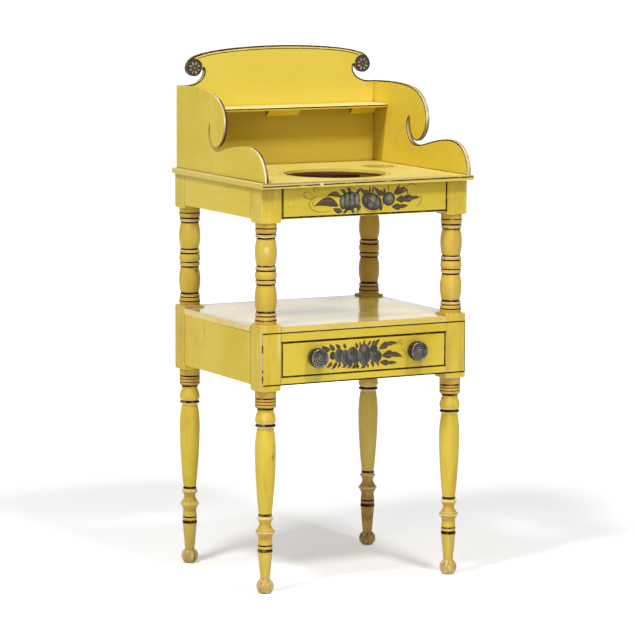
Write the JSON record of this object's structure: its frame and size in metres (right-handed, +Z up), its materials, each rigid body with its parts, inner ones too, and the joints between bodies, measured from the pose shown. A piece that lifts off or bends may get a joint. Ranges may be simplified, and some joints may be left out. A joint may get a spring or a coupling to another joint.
{
  "type": "washstand",
  "caption": "Painted wooden washstand on turned legs, with a scrolled splash gallery, a basin hole and cup holes in the top, a lower shelf and a drawer that slides out.",
  "frame": {"origin": "on the floor, under the middle of the overall width and depth", "axes": "+X to the right seen from the front, +Y from the drawer front to the back board, +Z up"},
  "size_m": [0.453, 0.3984, 1.0145],
  "materials": {
    "yellow_paint": "worn satin paint",
    "shelf_paint": "worn pale paint",
    "bare_wood": "bare pine",
    "brass": "dark patinated brass",
    "iron": "dark wrought iron"
  },
  "bodies": {
    "stand": {"apron_back": "yellow_paint", "apron_front": "yellow_paint", "apron_left": "yellow_paint", "apron_right": "yellow_paint", "case_back": "bare_wood", "case_side_left": "yellow_paint", "case_side_right": "yellow_paint", "drawer_guide_left": "bare_wood", "drawer_guide_right": "bare_wood", "drawer_kicker_left": "bare_wood", "drawer_kicker_right": "bare_wood", "drawer_rail_bottom": "yellow_paint", "drawer_rail_top": "yellow_paint", "drawer_runner_left": "bare_wood", "drawer_runner_right": "bare_wood", "drawer_stop_left": "bare_wood", "drawer_stop_right": "bare_wood", "lower_shelf": "shelf_paint", "lower_shelf_nails": "iron", "post_back_left": "yellow_paint", "post_back_right": "yellow_paint", "post_front_left": "yellow_paint", "post_front_right": "yellow_paint", "shelf_block_centre": "yellow_paint", "shelf_block_left": "yellow_paint", "shelf_block_right": "yellow_paint", "splash_back": "yellow_paint", "splash_left": "yellow_paint", "splash_nails": "iron", "splash_right": "yellow_paint", "splash_shelf": "yellow_paint", "top_block_back_left": "bare_wood", "top_block_back_right": "bare_wood", "top_block_left": "bare_wood", "top_block_right": "bare_wood", "top_board": "yellow_paint", "top_nails": "iron"},
    "drawer": {"drawer_front": "yellow_paint", "drawer_side_left": "bare_wood", "drawer_side_right": "bare_wood", "drawer_back": "bare_wood", "drawer_bottom": "bare_wood", "knob_left": "brass", "knob_right": "brass", "knob_bolt_left": "iron", "knob_bolt_right": "iron", "knob_nuts": "iron", "drawer_bottom_nails": "iron"}
  },
  "joints": [
    {"name": "drawer_slide", "type": "slide", "parent": "stand", "child": "drawer", "axis": [0, -1, 0], "range_m": [0, 0.22]}
  ]
}
